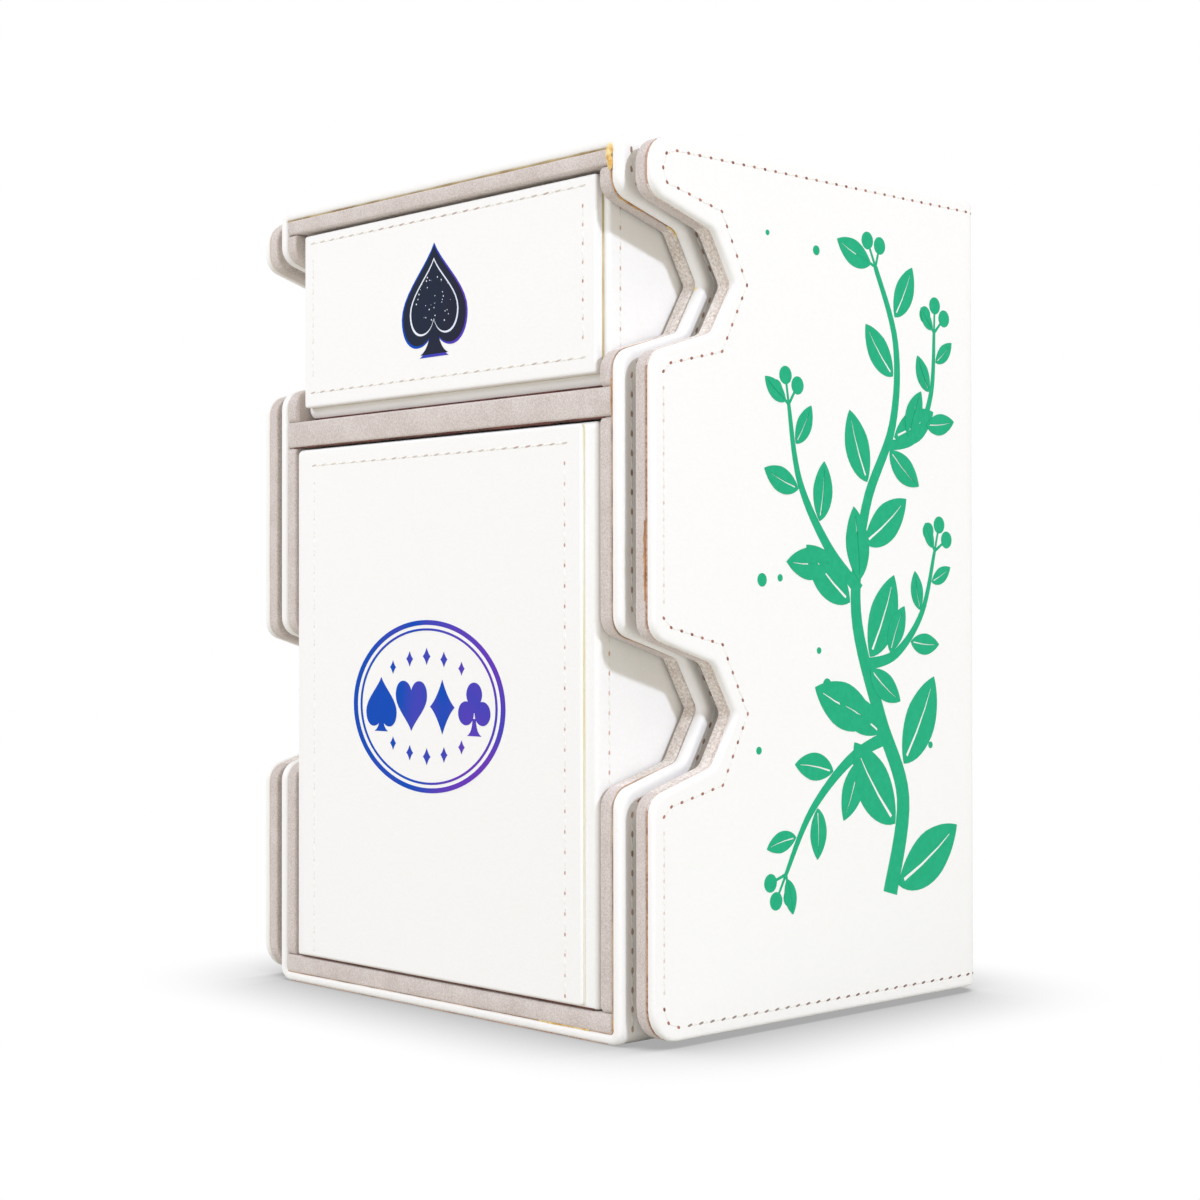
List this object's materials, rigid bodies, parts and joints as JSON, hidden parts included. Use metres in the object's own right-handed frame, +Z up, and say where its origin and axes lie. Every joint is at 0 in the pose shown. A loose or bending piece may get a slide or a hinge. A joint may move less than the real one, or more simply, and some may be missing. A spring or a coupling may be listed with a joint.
{
  "type": "playing card box with drawer",
  "caption": "Upright leather-wrapped playing card box with a low drawer over a card tray, finger-notched side walls and a notched outer cover with hinged side wings.",
  "frame": {"origin": "on the surface the box stands on, under the middle of its overall width and depth", "axes": "+Z up; the open front faces -Y and the drawer and tray pull out along -Y; +X is on the right seen from behind"},
  "size_m": [0.1164, 0.0952, 0.16],
  "materials": {
    "white_pu_leather": "fine-grained white PU leather",
    "stitched_panel_leather": "fine-grained white PU leather, stitched near its edges",
    "leather_wrapped_board": "board wrapped in white PU leather",
    "microfibre_board": "board covered in warm grey microfibre",
    "microfibre_lining": "warm grey microfibre on card",
    "greyboard": "bare greyboard",
    "magnet_steel": "nickel-plated magnet disc"
  },
  "bodies": {
    "case": {"case_wrap": "white_pu_leather", "base_wrap": "white_pu_leather", "left_board": "greyboard", "right_board": "greyboard", "top_board": "greyboard", "bottom_board": "greyboard", "back_board": "greyboard", "top_liner": "microfibre_board", "bottom_liner": "microfibre_board", "upper_back_liner": "microfibre_board", "upper_left_liner": "microfibre_board", "upper_right_liner": "microfibre_board", "lower_back_liner": "microfibre_board", "lower_left_liner": "microfibre_board", "lower_right_liner": "microfibre_board", "divider_shelf": "microfibre_board", "back_magnets": "magnet_steel", "cover_back_board": "microfibre_board", "cover_back_skin": "white_pu_leather", "left_hinge_leather": "white_pu_leather", "right_hinge_leather": "white_pu_leather"},
    "drawer": {"drawer_front_panel": "stitched_panel_leather", "drawer_front_wall": "leather_wrapped_board", "drawer_left_wall": "leather_wrapped_board", "drawer_right_wall": "leather_wrapped_board", "drawer_back_wall": "leather_wrapped_board", "drawer_floor": "leather_wrapped_board", "drawer_front_lining": "microfibre_lining", "drawer_left_lining": "microfibre_lining", "drawer_right_lining": "microfibre_lining", "drawer_back_lining": "microfibre_lining", "drawer_floor_lining": "microfibre_lining", "drawer_magnet": "magnet_steel"},
    "tray": {"tray_front_panel": "stitched_panel_leather", "tray_front_wall": "leather_wrapped_board", "tray_left_wall": "leather_wrapped_board", "tray_right_wall": "leather_wrapped_board", "tray_back_wall": "leather_wrapped_board", "tray_floor": "leather_wrapped_board", "tray_front_lining": "microfibre_lining", "tray_left_lining": "microfibre_lining", "tray_right_lining": "microfibre_lining", "tray_back_lining": "microfibre_lining", "tray_floor_lining": "microfibre_lining", "tray_magnet": "magnet_steel"},
    "left_wing": {"left_wing_board": "microfibre_board", "left_wing_skin": "white_pu_leather"},
    "right_wing": {"right_wing_board": "microfibre_board", "right_wing_skin": "white_pu_leather"}
  },
  "joints": [
    {"name": "drawer_slide", "type": "slide", "parent": "case", "child": "drawer", "axis": [0, -1, 0], "range_m": [0, 0.09]},
    {"name": "tray_slide", "type": "slide", "parent": "case", "child": "tray", "axis": [0, -1, 0], "range_m": [0, 0.09]},
    {"name": "left_wing_hinge", "type": "hinge", "parent": "case", "child": "left_wing", "pos_m": [-0.05634, 0.04574, 0.08], "axis": [0, 0, -1], "range_deg": [0, 90], "deforming": ["left_hinge_leather"]},
    {"name": "right_wing_hinge", "type": "hinge", "parent": "case", "child": "right_wing", "pos_m": [0.05634, 0.04574, 0.08], "axis": [0, 0, 1], "range_deg": [0, 90], "deforming": ["right_hinge_leather"]}
  ]
}
